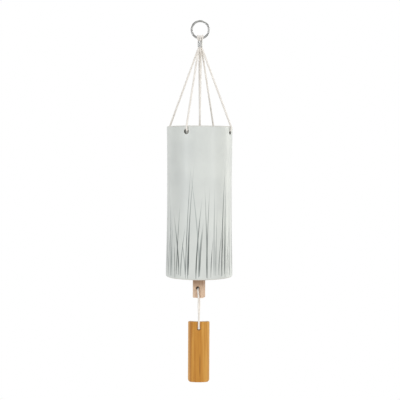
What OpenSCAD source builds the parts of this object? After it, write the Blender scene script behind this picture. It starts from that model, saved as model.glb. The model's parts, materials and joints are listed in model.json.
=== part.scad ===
/* [Split ring] */
// Outside diameter of the split ring
ring_d = 24; // [20:0.5:40]
// Radial width of the flat ring wire
ring_band = 2.5; // [1.6:0.1:3]
// Thickness of one turn of the ring wire
ring_turn = 1.25; // [0.9:0.05:1.6]
// Chamfer along the edges of the ring wire
ring_edge = 0.35; // [0.2:0.05:0.45]
// Half of the angle over which the wire steps from one turn to the other
ring_step = 20; // [14:1:30]

/* [Cord] */
// Diameter of the twisted cotton cord
cord_d = 2.4; // [1.6:0.1:2.6]
// Diameter of the cord where the loops and the ferrule squeeze it
tight_d = 1.9; // [1.4:0.1:2.2]
// Spacing of the loops that hang over the ring
loop_pitch = 3.2; // [2.6:0.1:3.6]
// Height from the mouth of the ferrule to the rim of the tube
cord_h = 99.2; // [70:0.1:160]

/* [Ferrule] */
// Length of the crimped sleeve that gathers the cords
ferrule_l = 7.5; // [5:0.5:14]
// Wall of the sleeve
ferrule_wall = 0.3; // [0.25:0.05:0.8]

/* [Ceramic tube] */
// Height of the tube
tube_h = 189.2; // [140:0.1:240]
// Outside diameter at the upper rim
tube_top_d = 82.9; // [70:0.1:110]
// Outside diameter halfway down
tube_waist_d = 81.8; // [69:0.1:110]
// Outside diameter at the lower rim
tube_foot_d = 84.8; // [70:0.1:112]
// Thickness of the wall
tube_wall = 4.5; // [3:0.1:7]
// Rounding of both edges of a rim
rim_round = 1.8; // [0.6:0.1:2.2]
// Diameter of the four cord holes
cord_hole_d = 6; // [5:0.1:7]
// Depth of the cord holes below the upper rim
cord_hole_drop = 7.2; // [6:0.1:14]
// Turn of the first cord hole from the front, towards the right
cord_hole_turn = -23.5; // [-40:0.5:40]

/* [Clapper] */
// Width of the wooden clapper
clapper_w = 13.6; // [9:0.1:18]
// Thickness of the clapper
clapper_t = 11; // [7:0.1:15]
// Length of the clapper
clapper_l = 95; // [70:1:130]
// How far the clapper hangs out below the tube
clapper_below = 27.5; // [24:0.5:45]
// Turn of the clapper about its hanging line
clapper_turn = -17; // [-30:1:30]
// Diameter of the two holes in the clapper
clapper_hole_d = 5; // [4.6:0.1:6.5]
// Distance of the upper hole from the top end
clapper_head = 8; // [6:0.5:14]
// Distance of the lower hole from the bottom end
clapper_foot = 12.4; // [8:0.1:18]
// Rounding of the long edges of the clapper
clapper_round = 0.9; // [0.5:0.1:2.5]
// Chamfer round both ends of the clapper
clapper_chamfer = 0.6; // [0.3:0.1:1.5]

/* [Sail] */
// Width of the bamboo sail
sail_w = 27.8; // [18:0.1:38]
// Length of the sail
sail_l = 78; // [50:0.5:120]
// Thickness of the split bamboo
sail_t = 4; // [2.5:0.1:5]
// Radius of the bamboo's round outer side
sail_bow_r = 30; // [24:0.5:60]
// Rounding of the upper corners
sail_top_round = 1.9; // [0.8:0.1:4]
// Rounding of the lower corners
sail_foot_round = 3.8; // [0.8:0.1:6]
// Height between the clapper and the sail
sail_drop = 30.7; // [26:0.1:60]
// Diameter of the sail's hole
sail_hole_d = 3.8; // [3.6:0.1:6]
// Distance of the sail's hole from its upper edge
sail_hole_drop = 9; // [6:0.1:14]

/* [Fits] */
// Clearance between pieces that move past each other
gap = 0.3; // [0.2:0.05:0.4]
// Clearance between cord strands that lie together
lie_gap = 0.04; // [0.02:0.01:0.08]

/* [Hidden] */
$fn = 64;

nickel = [0.72, 0.72, 0.7];
cotton = [0.93, 0.91, 0.87];
celadon = [0.82, 0.84, 0.81];
beech = [0.8, 0.66, 0.52];
bamboo = [0.79, 0.57, 0.28];

// The ring stands in the XZ plane, with its centre at the origin and the front at -Y
turn_gap = 0.08;
ring_thick = 2 * ring_turn + turn_gap;
wire_r = ring_d / 2 - ring_band / 2;
wire_z = -wire_r;
ring_step_place = 50;
ring_pitch = 9;

// Cord strands
cord_r = cord_d / 2;
cord_sides = 8;
bend = cord_r + gap;
tight_r = tight_d / 2;
strand_step = tight_d + lie_gap;

// Levels from the ring down to the tube, and the ferrule's bore round six strands that stand in a ring
ferrule_top = wire_z - 1.8 * tight_d;
mouth_z = ferrule_top - ferrule_l;
ferrule_r = strand_step + tight_r + lie_gap;
apex_z = mouth_z - cord_d * 2 / 3;
tube_top = mouth_z - cord_h;
tube_foot = tube_top - tube_h;
cord_hole_z = tube_top - cord_hole_drop;
cord_hole_top = cord_hole_z + cord_hole_d / 2;
tube_segments = 12;

// The suspension cords leave the apex side by side and pass outside the rim
apex_r = cord_r * sqrt(2) + lie_gap * 2;
cord_run_r = tube_r(cord_hole_drop / tube_h) + bend;
cord_slope = atan((cord_run_r - apex_r) / (apex_z - tube_top + rim_round / 2));

// A stopper knot is a trefoil of slightly squeezed cord, with its crossings clear of each other
knot_strand_d = 0.9 * cord_d;
knot_unit = 0.56 * cord_d;
knot_lift = 1.6 * knot_unit;
knot_seat = tube_r(cord_hole_drop / tube_h) - tube_wall - 2 * gap;
knot_place_r = knot_seat - knot_lift - knot_strand_d / 2;

// The doubled clapper cord starts where the suspension cords leave room for it
pair_off = cord_r + 0.1;
pair_r = pair_off + cord_r;
pair_drop = (pair_r + gap - apex_r + cord_r / cos(cord_slope)) / tan(cord_slope);
pair_z = apex_z - pair_drop;

// Levels of the clapper
clapper_low = tube_foot - clapper_below;
clapper_high = clapper_low + clapper_l;
head_hole_z = clapper_high - clapper_head;
foot_hole_z = clapper_low + clapper_foot;
clapper_bend = bend + gap;

// Levels and middle of the sail, whose centre of mass hangs below the cord
yoke_drop = 14;
yoke_z = clapper_low - yoke_drop;
yoke_side = 0.8;
yoke_lean = 0.6;
sail_off = cord_r + 0.05;
sail_high = clapper_low - sail_drop;
twist_rise = 7;
twist_z = sail_high + twist_rise;
sail_hole_z = sail_high - sail_hole_drop;
sail_hole_top = sail_hole_z + sail_hole_d / 2;
sail_inner_r = sail_bow_r - sail_t;
sail_mid = sail_w * (sail_bow_r ^ 2 - sail_inner_r ^ 2)
    / (2 * (under_arc(sail_bow_r) - under_arc(sail_inner_r)));
sail_front = sail_mid - sail_bow_r;
sail_back = sail_mid - sail_inner_r;
sail_back_bend = bend + gap;

// Outer radius of the tube at a share of its height from the top
function tube_r(share) =
    tube_top_d / 2 * (1 - share) * (1 - 2 * share)
    + tube_waist_d / 2 * 4 * share * (1 - share)
    + tube_foot_d / 2 * share * (2 * share - 1);

// Area under the middle of a circle's arc, as wide as the sail
function under_arc(r) =
    sail_w / 2 * sqrt(r ^ 2 - sail_w ^ 2 / 4) + r ^ 2 * asin(sail_w / 2 / r) * PI / 180;

function unit(v) = v / norm(v);
function turned(p, angle) = [
    p.x * cos(angle) - p.y * sin(angle), p.x * sin(angle) + p.y * cos(angle), p.z
];
function reversed(list) = [for (i = [len(list) - 1 : -1 : 0]) list[i]];

// Points of a quarter turn about a hole's edge, as pairs of outward distance and height
function quarter(r, up) = [for (a = [0 : 30 : 90]) [r * cos(a), up * r * sin(a)]];

// A tube swept along a path, with its rings carried along without twist
function heading(path, i) = unit(path[min(i + 1, len(path) - 1)] - path[max(i - 1, 0)]);
function square_to(v, axis) = unit(v - (v * axis) * axis);
function first_side(axis) = square_to(abs(axis.x) < 0.9 ? [1, 0, 0] : [0, 1, 0], axis);
function sides_along(path) = [
    for (i = 0, side = first_side(heading(path, 0)); i < len(path);
         i = i + 1, side = i < len(path) ? square_to(side, heading(path, i)) : side) side
];
function ring_about(centre, side, axis, r) = [
    for (k = [0 : cord_sides - 1])
        let (a = 360 * k / cord_sides)
        centre + r * (cos(a) * side + sin(a) * cross(axis, side))
];
function skin(rings, count, closed) = [
    for (i = [0 : rings - (closed ? 1 : 2)], k = [0 : count - 1])
        let (a = i * count + k)
        let (b = i * count + (k + 1) % count)
        let (up = (i + 1) % rings * count - i * count)
        each [[a, a + up, b + up], [a, b + up, b]]
];
function end_caps(rings, count) = [
    [for (k = [0 : count - 1]) k],
    [for (k = [count - 1 : -1 : 0]) (rings - 1) * count + k]
];

module cord(path, r = cord_r) {
    sides = sides_along(path);
    points = [for (i = [0 : len(path) - 1]) each ring_about(path[i], sides[i], heading(path, i), r)];
    polyhedron(points, concat(end_caps(len(path), cord_sides), skin(len(path), cord_sides, false)));
}

// Two turns of flat wire side by side, with one step across between them
function wire_side(a) =
    let (share = min(1, max(0, (a - 360 + ring_step) / (2 * ring_step))))
    (ring_turn + turn_gap) * (share * share * (3 - 2 * share) - 0.5);
function wire_section() =
    let (w = ring_band / 2, t = ring_turn / 2, e = ring_edge)
    [[w, e - t], [w, t - e], [w - e, t], [e - w, t], [-w, t - e], [-w, e - t], [e - w, -t], [w - e, -t]];

module split_ring() {
    first = ring_step + 2;
    steps = round((720 - 2 * first) / ring_pitch);
    section = wire_section();
    points = [
        for (i = [0 : steps])
            let (a = first + i * (720 - 2 * first) / steps)
            let (place = a + ring_step_place)
            for (p = section)
                [(wire_r + p.x) * cos(place), wire_side(a) + p.y, (wire_r + p.x) * sin(place)]
    ];
    faces = concat(end_caps(steps + 1, len(section)), skin(steps + 1, len(section), false));
    color(nickel) polyhedron(points, [for (f = faces) reversed(f)]);
}

// Radius of a loop that turns freely about the ring's lowest point
function loop_r(x) =
    let (rise = wire_r - sqrt(wire_r ^ 2 - x ^ 2))
    let (half_band = ring_band / 2 / cos(asin(x / wire_r)))
    norm([ring_thick / 2, rise + half_band - ring_edge]) + gap / 2 + tight_r;

module ring_loop(place) {
    x = place * loop_pitch;
    r = loop_r(x);
    leg = strand_step * [place * cos(30), place == 0 ? 1 : sin(30)];
    leg_end = place == 0 ? apex_z + gap * 2 : mouth_z + gap;
    down = [
        [x, r, wire_z - tight_r * 2 / 3],
        [leg.x, leg.y, ferrule_top + tight_r * 2 / 3],
        [leg.x, leg.y, leg_end]
    ];
    over = [for (a = [-90 : 22.5 : 90]) [x, r * sin(a), wire_z + r * cos(a)]];
    color(cotton) cord(concat([for (p = reversed(down)) [p.x, -p.y, p.z]], over, down), tight_r);
}

module ferrule() {
    color(nickel)
        translate([0, 0, mouth_z])
            difference() {
                cylinder(h = ferrule_l, r = ferrule_r + ferrule_wall);
                translate([0, 0, -1]) cylinder(h = ferrule_l + 2, r = ferrule_r);
            }
}

// Places round the tube, counted from the front towards the right
function hole_angle(i) = cord_hole_turn + 90 * i;

module suspension_cord(i) {
    edge = [tube_r(cord_hole_drop / tube_h), cord_hole_top];
    route = concat(
        [[apex_r, apex_z], [cord_run_r, tube_top - rim_round / 2]],
        [for (q = quarter(bend, -1)) edge + q],
        [[knot_seat + gap / 2, cord_hole_top - bend]]
    );
    color(cotton) cord([for (p = route) turned([0, -p.x, p.y], hole_angle(i))]);
}

function knot_path() = [
    for (a = [0 : 12 : 348])
        [
            knot_unit * (sin(a) + 2 * sin(2 * a)),
            knot_unit * (cos(a) - 2 * cos(2 * a)),
            -knot_lift * sin(3 * a)
        ]
];

module stopper_knot(i) {
    path = knot_path();
    count = len(path);
    axes = [for (k = [0 : count - 1]) unit(path[(k + 1) % count] - path[(k + count - 1) % count])];
    points = [
        for (k = [0 : count - 1])
            each ring_about(path[k], unit(cross([0, 0, 1], axes[k])), axes[k], knot_strand_d / 2)
    ];
    color(cotton)
        rotate([0, 0, hole_angle(i)])
            translate([0, -knot_place_r, cord_hole_top - bend])
                rotate([90, 0, 0])
                    polyhedron(points, skin(count, cord_sides, true));
}

module ceramic_tube() {
    shares = [for (i = [1 : tube_segments - 1]) i / tube_segments];
    function rim(r, z, a0) = [
        for (a = [a0 : -22.5 : a0 - 90]) [r + rim_round * cos(a), z + rim_round * sin(a)]
    ];
    outer = [for (s = shares) [tube_r(s), tube_top - s * tube_h]];
    inner = [for (s = reversed(shares)) [tube_r(s) - tube_wall, tube_top - s * tube_h]];
    high = tube_top - rim_round;
    low = tube_foot + rim_round;
    profile = concat(
        rim(tube_top_d / 2 - rim_round, high, 90),
        outer,
        rim(tube_foot_d / 2 - rim_round, low, 0),
        rim(tube_foot_d / 2 - tube_wall + rim_round, low, -90),
        inner,
        rim(tube_top_d / 2 - tube_wall + rim_round, high, 180)
    );
    color(celadon)
        difference() {
            rotate_extrude() polygon(profile);
            for (i = [0 : 3])
                rotate([0, 0, hole_angle(i)])
                    translate([0, 0, cord_hole_z])
                        rotate([90, 0, 0])
                            cylinder(h = tube_top_d, d = cord_hole_d);
        }
}

// The end of the clapper cord, squeezed between the suspension cords
module clapper_cord_end() {
    room = apex_r - cord_r / cos(cord_slope) - gap;
    top_drop = cord_d * 0.6;
    low_drop = pair_drop - gap - gap / 2;
    color(cotton)
        translate([0, 0, apex_z - low_drop])
            cylinder(
                h = low_drop - top_drop,
                r1 = room + low_drop * tan(cord_slope),
                r2 = room + top_drop * tan(cord_slope)
            );
}

// One loop of cord, down the front, through the upper hole and up the back
module clapper_cord() {
    hole_edge = [-clapper_t / 2, head_hole_z + clapper_hole_d / 2];
    front = concat(
        [[pair_off, 0, pair_z]],
        [
            for (q = quarter(clapper_bend, -1))
                turned([0, hole_edge.x - q.x, hole_edge.y + q.y], clapper_turn)
        ]
    );
    color(cotton) cord(concat(front, [for (p = reversed(front)) turned(p, 180)]));
}

// A square corner with its rounding left out, to cut from a flat outline
module corner_cut(r) {
    difference() {
        translate([-1, -1]) square(r + 1);
        translate([r, r]) circle(r);
    }
}

module clapper() {
    half = [clapper_w / 2, clapper_t / 2];
    color(beech)
        rotate([0, 0, clapper_turn])
            difference() {
                translate([0, 0, clapper_low])
                    linear_extrude(clapper_l)
                        difference() {
                            square(2 * half, center = true);
                            for (sx = [0, 1], sy = [0, 1])
                                mirror([sx, 0])
                                    mirror([0, sy])
                                        translate(-half) corner_cut(clapper_round);
                        }
                for (z = [head_hole_z, foot_hole_z])
                    translate([0, clapper_t, z])
                        rotate([90, 0, 0])
                            cylinder(h = 2 * clapper_t, d = clapper_hole_d);
                for (end = [0, 1], side = [0 : 3])
                    translate([0, 0, end == 0 ? clapper_low : clapper_high])
                        mirror([0, 0, end])
                            rotate([0, 0, 90 * side])
                                end_chamfer(side % 2 == 0 ? half.y : half.x);
            }
}

// A bar that takes off the bottom edge at a distance from the middle
module end_chamfer(distance) {
    thick = clapper_chamfer * sqrt(2);
    translate([0, -distance, 0])
        rotate([45, 0, 0])
            cube([2 * (clapper_w + clapper_t), thick, thick], center = true);
}

// The upper half of the sail's cord, through the clapper's lower hole
module sail_cord_yoke() {
    hole_edge = [-clapper_t / 2, foot_hole_z - clapper_hole_d / 2];
    front = concat(
        [
            for (q = reversed(quarter(clapper_bend, 1)))
                turned([yoke_side, hole_edge.x - q.x, hole_edge.y + q.y], clapper_turn)
        ],
        [
            turned([yoke_lean, hole_edge.x - clapper_bend, clapper_low + gap], clapper_turn),
            [0, -sail_off, yoke_z + sail_off + cord_d * 2 / 3]
        ]
    );
    color(cotton) cord(concat(reversed(front), [for (p = front) turned(p, 180)]));
}

// The doubled middle of the sail's cord, which swings below the clapper
module sail_cord() {
    color(cotton)
        union() {
            translate([0, 0, yoke_z]) sphere(cord_d);
            for (side = [-1, 1])
                translate([0, side * sail_off, twist_z + gap / 2])
                    cylinder(h = yoke_z - twist_z - gap / 2, d = cord_d);
        }
}

// The lower end of the sail's cord, round the sail's edge and through its hole
module sail_cord_loop() {
    end_z = twist_z - gap / 2;
    straight_z = end_z - cord_r;
    route = concat(
        [[-sail_off, end_z], [-sail_off, straight_z], [sail_front - bend, sail_high + cord_r]],
        [for (q = quarter(bend, -1)) [sail_front - q.x, sail_hole_top + q.y]],
        [for (q = reversed(quarter(sail_back_bend, -1))) [sail_back + q.x, sail_hole_top + q.y]],
        [[sail_back + sail_back_bend, sail_high + cord_r], [sail_off, straight_z], [sail_off, end_z]]
    );
    color(cotton) cord([for (p = route) [0, p.x, p.y]]);
}

module sail_outline() {
    difference() {
        translate([-sail_w / 2, 0]) square([sail_w, sail_l]);
        for (side = [0, 1])
            mirror([side, 0]) {
                translate([-sail_w / 2, 0]) corner_cut(sail_foot_round);
                translate([-sail_w / 2, sail_l]) mirror([0, 1]) corner_cut(sail_top_round);
            }
    }
}

module bamboo_sail() {
    color(bamboo)
        translate([0, sail_mid, sail_high - sail_l])
            difference() {
                intersection() {
                    linear_extrude(sail_l)
                        difference() {
                            circle(sail_bow_r);
                            circle(sail_inner_r);
                        }
                    rotate([90, 0, 0]) linear_extrude(2 * sail_bow_r) sail_outline();
                }
                translate([0, 0, sail_hole_z - sail_high + sail_l])
                    rotate([90, 0, 0])
                        cylinder(h = 2 * sail_bow_r, d = sail_hole_d);
            }
}

split_ring();
ring_loop(-1);  // ring_loop_1
ring_loop(0);  // ring_loop_2
ring_loop(1);  // ring_loop_3
ferrule();
suspension_cord(0);  // suspension_cord_1
suspension_cord(1);  // suspension_cord_2
suspension_cord(2);  // suspension_cord_3
suspension_cord(3);  // suspension_cord_4
stopper_knot(0);  // stopper_knot_1
stopper_knot(1);  // stopper_knot_2
stopper_knot(2);  // stopper_knot_3
stopper_knot(3);  // stopper_knot_4
ceramic_tube();
clapper_cord_end();
clapper_cord();
clapper();
sail_cord_yoke();
sail_cord();
sail_cord_loop();
bamboo_sail();
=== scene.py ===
import json
import math

import bmesh
import bpy
from mathutils import Matrix, Vector, noise
from mathutils.geometry import delaunay_2d_cdt


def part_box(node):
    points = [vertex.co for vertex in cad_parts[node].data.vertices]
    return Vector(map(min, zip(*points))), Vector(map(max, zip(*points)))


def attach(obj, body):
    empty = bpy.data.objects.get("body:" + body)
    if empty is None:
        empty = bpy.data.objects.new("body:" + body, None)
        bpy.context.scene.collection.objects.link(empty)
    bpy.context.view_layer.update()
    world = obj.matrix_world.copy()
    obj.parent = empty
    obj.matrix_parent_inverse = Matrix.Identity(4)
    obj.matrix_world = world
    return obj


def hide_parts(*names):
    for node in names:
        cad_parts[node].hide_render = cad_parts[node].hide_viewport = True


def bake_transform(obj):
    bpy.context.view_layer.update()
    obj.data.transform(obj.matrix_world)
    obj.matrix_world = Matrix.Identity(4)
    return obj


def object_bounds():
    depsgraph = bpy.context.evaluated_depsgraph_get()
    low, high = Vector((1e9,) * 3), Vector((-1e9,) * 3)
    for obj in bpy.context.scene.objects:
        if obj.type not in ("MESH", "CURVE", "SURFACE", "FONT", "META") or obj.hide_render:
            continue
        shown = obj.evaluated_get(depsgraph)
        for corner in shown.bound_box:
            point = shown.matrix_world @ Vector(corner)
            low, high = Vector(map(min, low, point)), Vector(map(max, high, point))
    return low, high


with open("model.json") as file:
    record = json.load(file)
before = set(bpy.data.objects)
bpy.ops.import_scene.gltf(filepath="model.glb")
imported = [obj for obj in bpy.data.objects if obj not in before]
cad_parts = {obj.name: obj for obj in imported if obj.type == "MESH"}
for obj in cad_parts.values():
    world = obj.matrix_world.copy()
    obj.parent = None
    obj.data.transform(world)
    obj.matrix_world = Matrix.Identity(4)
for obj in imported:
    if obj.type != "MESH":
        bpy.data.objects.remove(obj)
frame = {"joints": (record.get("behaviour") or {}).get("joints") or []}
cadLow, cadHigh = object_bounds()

mm = 0.001
turn = 2 * math.pi
joints = {joint["name"]: Vector(joint["pos_m"]) for joint in frame["joints"]}
scene = bpy.context.scene


# Shared helpers

def linear(hexColour):  # sRGB hex to linear RGBA
    parts = [int(hexColour[i:i + 2], 16) / 255 for i in (1, 3, 5)]
    return [p / 12.92 if p <= 0.04045 else ((p + 0.055) / 1.055) ** 2.4 for p in parts] + [1]


def addNode(tree, kind, inputs=(), out=0, **settings):  # links sockets, sets plain values, returns an output
    node = tree.nodes.new(kind if "Node" in kind else "ShaderNode" + kind)
    for name, value in settings.items():
        setattr(node, name, value)
    for name, value in dict(inputs).items():
        if isinstance(value, bpy.types.NodeSocket):
            tree.links.new(value, node.inputs[name])
        else:
            node.inputs[name].default_value = value
    return node.outputs[out] if node.outputs else node


def newMaterial(name):
    material = bpy.data.materials.new(name)
    material.use_nodes = True
    tree = material.node_tree
    return material, tree, tree.nodes["Principled BSDF"]


def setStops(ramp, stops):  # positions and hex colours of a colour ramp
    elements = ramp.node.color_ramp.elements
    while len(elements) < len(stops):
        elements.new(1)
    for element, (position, tint) in zip(elements, stops):
        element.position, element.color = position, linear(tint)


def dressShader(tree, shader, colour, layers, rough, height, relief):
    for mask, tint in layers:  # each laid over the ones before
        colour = addNode(tree, "Mix", {0: mask, 6: colour, 7: tint}, out=2, data_type="RGBA")
    strength, depth = relief
    bump = addNode(tree, "Bump", {"Height": height, "Strength": strength, "Distance": depth})
    for name, value in (("Base Color", colour), ("Roughness", rough), ("Normal", bump)):
        tree.links.new(value, shader.inputs[name])


def bandMask(tree, value, place, near, far, atNear, atFar=0.0, blend="LINEAR"):  # by distance from a place
    away = addNode(tree, "Math", {0: value, 1: place}, operation="SUBTRACT")
    away = addNode(tree, "Math", {0: away}, operation="ABSOLUTE")
    return addNode(tree, "MapRange", {
        "Value": away, "From Min": near, "From Max": far, "To Min": atNear, "To Max": atFar},
        interpolation_type=blend)


def drillMask(tree, where, level, radius, soft):  # in and round a hole that runs from front to back
    local = addNode(tree, "Mapping", {"Vector": where, "Location": (0, 0, -level), "Scale": (1, 0, 1)})
    away = addNode(tree, "VectorMath", {0: local}, out="Value", operation="LENGTH")
    return addNode(tree, "MapRange", {
        "Value": away, "From Min": radius + 0.05 * mm, "From Max": radius + soft, "To Min": 0.95, "To Max": 0.0})


def finishPiece(piece, material=None):
    if material:
        piece.data.materials.clear()
        piece.data.materials.append(material)
    for polygon in piece.data.polygons:
        polygon.use_smooth = True
    return piece


def newPiece(name, data):
    piece = bpy.data.objects.new(name, data)
    scene.collection.objects.link(piece)
    return piece


def pathCurve(name, points):  # one open poly spline through points in metres
    curve = bpy.data.curves.new(name, "CURVE")
    curve.dimensions = "3D"
    spline = curve.splines.new("POLY")
    spline.points.add(len(points) - 1)
    for place, point in zip(spline.points, points):
        place.co = (*point, 1)
    return newPiece(name + "Path", curve)


def growTree(name, path, tree, values):  # runs a node tree on a path and keeps the plain mesh
    modifier = path.modifiers.new(name, "NODES")
    modifier.node_group = tree
    for item in tree.interface.items_tree:
        if item.in_out == "INPUT" and item.name in values:
            modifier[item.identifier] = values[item.name]
    graph = bpy.context.evaluated_depsgraph_get()
    mesh = bpy.data.meshes.new_from_object(path.evaluated_get(graph), depsgraph=graph)
    path.modifiers.remove(modifier)
    bpy.data.objects.remove(path)
    mesh.name = name
    return newPiece(name, mesh)


def startTree(name, sockets):  # a geometry node tree with named inputs
    tree = bpy.data.node_groups.new(name, "GeometryNodeTree")
    tree.interface.new_socket("Path", in_out="INPUT", socket_type="NodeSocketGeometry")
    for label, kind, value in sockets:
        socket = tree.interface.new_socket(label, in_out="INPUT", socket_type=kind)
        if value is not None:
            socket.default_value = value
    tree.interface.new_socket("Mesh", in_out="OUTPUT", socket_type="NodeSocketGeometry")
    return tree, tree.nodes.new("NodeGroupInput").outputs


def endTree(tree, given, mesh):
    smooth = addNode(tree, "GeometryNodeSetShadeSmooth", {"Geometry": mesh})
    real = addNode(tree, "GeometryNodeRealizeInstances", {"Geometry": smooth})
    dressed = addNode(tree, "GeometryNodeSetMaterial", {"Geometry": real, "Material": given["Material"]})
    addNode(tree, "NodeGroupOutput", {"Mesh": dressed})
    return tree


def spaced(low, high, step):
    count = max(1, round((high - low) / step))
    return [low + (high - low) * i / count for i in range(count + 1)]


# Camera at the photograph's viewing angle

view = {
    "distance": 1137 * mm,
    "eyeLevel": -156 * mm,
    "sideways": 0.45 * mm,  # the hanging line stands a little left of the picture's middle
    "pitchDegrees": 2.9,
    "rollDegrees": -0.27,
    "lens": 81,
    "sensorWidth": 36,
}


def placeCamera():
    data = bpy.data.cameras.new("camera")
    data.lens = view["lens"]
    data.sensor_width = view["sensorWidth"]
    camera = newPiece("camera", data)
    camera.location = (view["sideways"], -view["distance"], view["eyeLevel"])
    camera.rotation_euler = (math.radians(90 - view["pitchDegrees"]), math.radians(view["rollDegrees"]), 0)
    scene.camera = camera


placeCamera()


# Cotton cord

cord = {
    "diameter": 2.4 * mm,
    "tight": 1.9 * mm,  # diameter where the loops and the ferrule squeeze it
    "lay": 5.2 * mm,  # length in which a ply goes round once
    "groove": 0.07,  # depth between the plies, as a share of the radius
    "bendRadius": 2 * mm,
    "strandStep": 1.94 * mm,  # spacing of the strands in the ferrule
    "loopPitch": 2.9 * mm,
    "swell": (5 * mm, 12 * mm),  # a squeezed end comes back to the full diameter between these lengths
    "play": 0.3 * mm,  # between a cord and what it lies on
    "cutGap": 0.002 * mm,  # on each side of a cut between two pieces
    "plies": 3,
    "sides": 24,
}


def cottonCord(name, grey, pale, white):  # bleached cotton: matt, fine fibres along the cord, with painted shade in the grooves
    material, tree, shader = newMaterial(name)
    fibres = 14  # round the cord: coarser than real fibre, so that they show
    along = addNode(tree, "Attribute", out="Fac", attribute_name="along")
    around = addNode(tree, "Attribute", out="Vector", attribute_name="around")
    sides = addNode(tree, "SeparateXYZ", {0: around}).node.outputs  # Z is 1 on a ply, 0 in a groove
    angle = addNode(tree, "Math", {0: sides["Y"], 1: sides["X"]}, operation="ARCTAN2")
    wind = addNode(tree, "Math", {0: along, 1: 1.1 * fibres * turn / cord["lay"]}, operation="MULTIPLY")
    phase = addNode(tree, "Math", {0: angle, 1: fibres, 2: wind}, operation="MULTIPLY_ADD")
    ridge = addNode(tree, "Math", {0: phase}, operation="SINE")
    where = addNode(tree, "TexCoord", out="Object")
    fluff = addNode(tree, "TexNoise", {"Vector": where, "Scale": 1 / (0.6 * mm), "Detail": 4})
    stain = addNode(tree, "TexNoise", {"Vector": where, "Scale": 1 / (12 * mm), "Detail": 3})
    height = addNode(tree, "Math", {0: ridge, 1: 0.2, 2: fluff}, operation="MULTIPLY_ADD")
    # painted shade: the grooves between the plies, where Z is 0, get a greyer colour
    tone = addNode(tree, "Math", {0: sides["Z"], 1: 0.22, 2: stain}, operation="MULTIPLY_ADD")
    tone = addNode(tree, "Math", {0: height, 1: 0.25, 2: tone}, operation="MULTIPLY_ADD")
    ramp = addNode(tree, "ValToRGB", {"Fac": tone})
    setStops(ramp, [(0.4, grey), (0.65, pale), (0.9, white)])
    tree.links.new(ramp, shader.inputs["Base Color"])
    bump = addNode(tree, "Bump", {"Height": height, "Strength": 0.35, "Distance": 0.08 * mm})
    tree.links.new(bump, shader.inputs["Normal"])
    shader.inputs["Roughness"].default_value = 0.9
    shader.inputs["Specular IOR Level"].default_value = 0.2
    shader.inputs["Sheen Weight"].default_value = 0.15
    shader.inputs["Sheen Roughness"].default_value = 0.5
    return material


cotton = cottonCord("twisted cotton cord", "#E8E1D8", "#EFE9E1", "#F6F1EA")
# the sail's cord: the same cotton painted lighter, as painted light where the lamps reach it less
lighterPaintedCotton = cottonCord("cotton cord painted lighter", "#EDE5DB", "#F4EDE4", "#FAF4ED")


def twistedCordTree():  # the plies as one closed skin, which turns as it runs along the path
    tree, given = startTree("twisted cord", [
        ("Cord diameter", "NodeSocketFloat", cord["diameter"]),
        ("Lay length", "NodeSocketFloat", cord["lay"]),
        ("Groove depth", "NodeSocketFloat", cord["groove"]),
        ("Bend radius", "NodeSocketFloat", cord["bendRadius"]),
        ("Sample length", "NodeSocketFloat", 0.55 * mm),
        ("End share", "NodeSocketFloat", 1.0),
        ("Material", "NodeSocketMaterial", None),
    ])
    soft = addNode(tree, "GeometryNodeFilletCurve", {
        "Curve": given["Path"], "Count": 8, "Limit Radius": True, "Radius": given["Bend radius"]}, mode="POLY")
    line = addNode(tree, "GeometryNodeResampleCurve", {
        "Curve": soft, "Length": given["Sample length"]}, mode="LENGTH")
    length = addNode(tree, "GeometryNodeSplineParameter", out="Length")
    line = addNode(tree, "GeometryNodeStoreNamedAttribute", {"Geometry": line, "Name": "along", "Value": length})
    turns = addNode(tree, "Math", {0: length, 1: given["Lay length"]}, operation="DIVIDE")
    tilt = addNode(tree, "Math", {0: turns, 1: turn}, operation="MULTIPLY")
    line = addNode(tree, "GeometryNodeSetCurveTilt", {"Curve": line, "Tilt": tilt})
    whole = addNode(tree, "GeometryNodeSplineLength")
    rest = addNode(tree, "Math", {0: whole, 1: length}, operation="SUBTRACT")
    nearest = addNode(tree, "Math", {0: length, 1: rest}, operation="MINIMUM")
    swell = addNode(tree, "MapRange", {
        "Value": nearest, "From Min": cord["swell"][0], "From Max": cord["swell"][1], "To Min": given["End share"],
        "To Max": 1.0}, interpolation_type="SMOOTHSTEP")
    radius = addNode(tree, "Math", {0: given["Cord diameter"], 1: 0.5}, operation="MULTIPLY")
    ring = addNode(tree, "GeometryNodeCurvePrimitiveCircle", {"Resolution": cord["sides"], "Radius": radius})
    spot = addNode(tree, "GeometryNodeInputPosition")
    facing = addNode(tree, "VectorMath", {0: spot}, operation="NORMALIZE")
    axes = addNode(tree, "SeparateXYZ", {0: facing}).node.outputs
    angle = addNode(tree, "Math", {0: axes["Y"], 1: axes["X"]}, operation="ARCTAN2")
    wave = addNode(tree, "Math", {0: angle, 1: cord["plies"] / 2}, operation="MULTIPLY")
    wave = addNode(tree, "Math", {0: wave}, operation="COSINE")
    crest = addNode(tree, "Math", {0: wave}, operation="ABSOLUTE")
    marks = addNode(tree, "CombineXYZ", {"X": axes["X"], "Y": axes["Y"], "Z": crest})
    ring = addNode(tree, "GeometryNodeStoreNamedAttribute", {
        "Geometry": ring, "Name": "around", "Value": marks}, data_type="FLOAT_VECTOR")
    low = addNode(tree, "Math", {0: 1.0, 1: given["Groove depth"]}, operation="SUBTRACT")
    reach = addNode(tree, "Math", {0: crest, 1: given["Groove depth"], 2: low}, operation="MULTIPLY_ADD")
    lobed = addNode(tree, "VectorMath", {0: spot, "Scale": reach}, operation="SCALE")
    ring = addNode(tree, "GeometryNodeSetPosition", {"Geometry": ring, "Position": lobed})
    mesh = addNode(tree, "GeometryNodeCurveToMesh", {
        "Curve": line, "Profile Curve": ring, "Scale": swell, "Fill Caps": True})
    return endTree(tree, given, mesh)


cordTree = twistedCordTree()


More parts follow.
